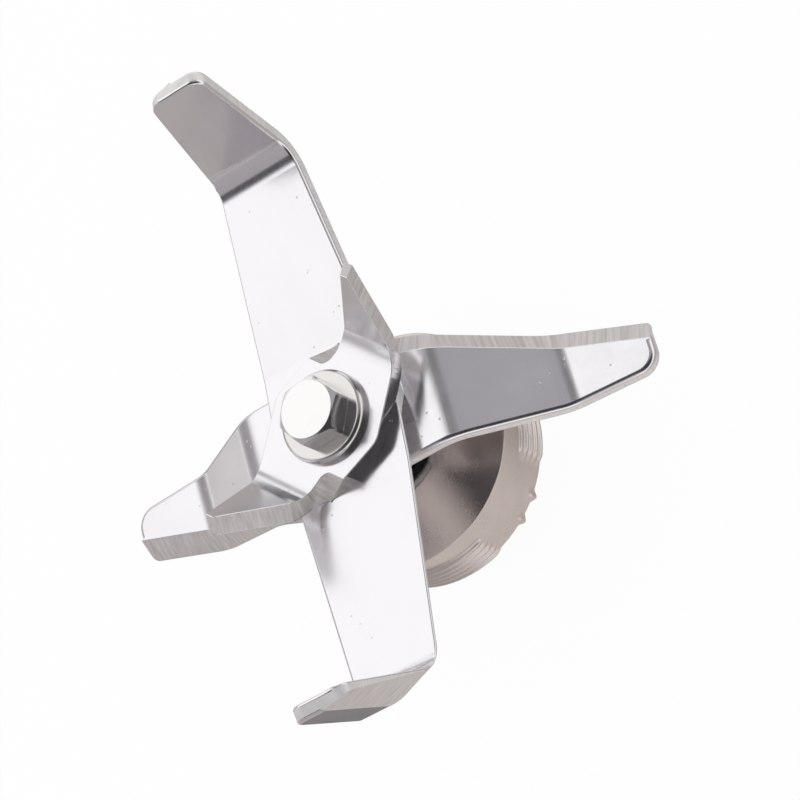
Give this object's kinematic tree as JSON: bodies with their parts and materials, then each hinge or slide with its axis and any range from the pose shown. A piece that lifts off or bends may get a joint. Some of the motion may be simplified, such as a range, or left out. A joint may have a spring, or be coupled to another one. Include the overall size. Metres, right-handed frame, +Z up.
{
  "type": "blender blade assembly",
  "caption": "Blender blade assembly: bent, ground steel blades stacked and bolted on a spindle that turns on ball bearings inside a threaded housing with a conical top.",
  "frame": {"origin": "on the shaft axis, in the plane of the housing's bottom rim", "axes": "+Z up along the shaft from the drive end to the clamping bolt, +X along the arms of the long blade with the upturned tips, blades turn from +X towards +Y"},
  "size_m": [0.1108, 0.1004, 0.0732],
  "materials": {
    "blade_steel": "mirror polished",
    "bolt_steel": "polished",
    "housing_steel": "satin",
    "spindle_steel": "ground",
    "bearing_steel": "ground",
    "cage_brass": "satin",
    "seal_rubber": "matte"
  },
  "bodies": {
    "housing_group": {"housing": "housing_steel", "seal_case": "bearing_steel", "seal_lip": "seal_rubber", "seal_spring": "bearing_steel", "upper_outer_ring": "bearing_steel", "upper_bottom_shield": "bearing_steel", "upper_top_shield": "bearing_steel", "lower_outer_ring": "bearing_steel", "lower_bottom_shield": "bearing_steel", "lower_top_shield": "bearing_steel", "circlip": "bearing_steel"},
    "rotor": {"spindle": "spindle_steel", "spacer_collar": "spindle_steel", "bearing_sleeve": "bearing_steel", "upper_inner_ring": "bearing_steel", "lower_inner_ring": "bearing_steel", "cross_blade": "blade_steel", "long_blade": "blade_steel", "top_blade": "blade_steel", "flat_washer": "bolt_steel", "hex_bolt": "bolt_steel"},
    "upper_ball_set": {"upper_balls": "bearing_steel", "upper_cage": "cage_brass"},
    "lower_ball_set": {"lower_balls": "bearing_steel", "lower_cage": "cage_brass"}
  },
  "joints": [
    {"name": "blade_spin", "type": "hinge", "parent": "housing_group", "child": "rotor", "pos_m": [0, 0, 0], "axis": [0, 0, 1], "continuous": true},
    {"name": "upper_ball_roll", "type": "hinge", "parent": "housing_group", "child": "upper_ball_set", "pos_m": [0, 0, 0.007], "axis": [0, 0, 1], "continuous": true},
    {"name": "lower_ball_roll", "type": "hinge", "parent": "housing_group", "child": "lower_ball_set", "pos_m": [0, 0, -0.001], "axis": [0, 0, 1], "continuous": true}
  ],
  "couplings": [
    {"joint": "upper_ball_roll", "follows": "blade_spin", "ratio": 0.4008},
    {"joint": "lower_ball_roll", "follows": "blade_spin", "ratio": 0.4008}
  ]
}
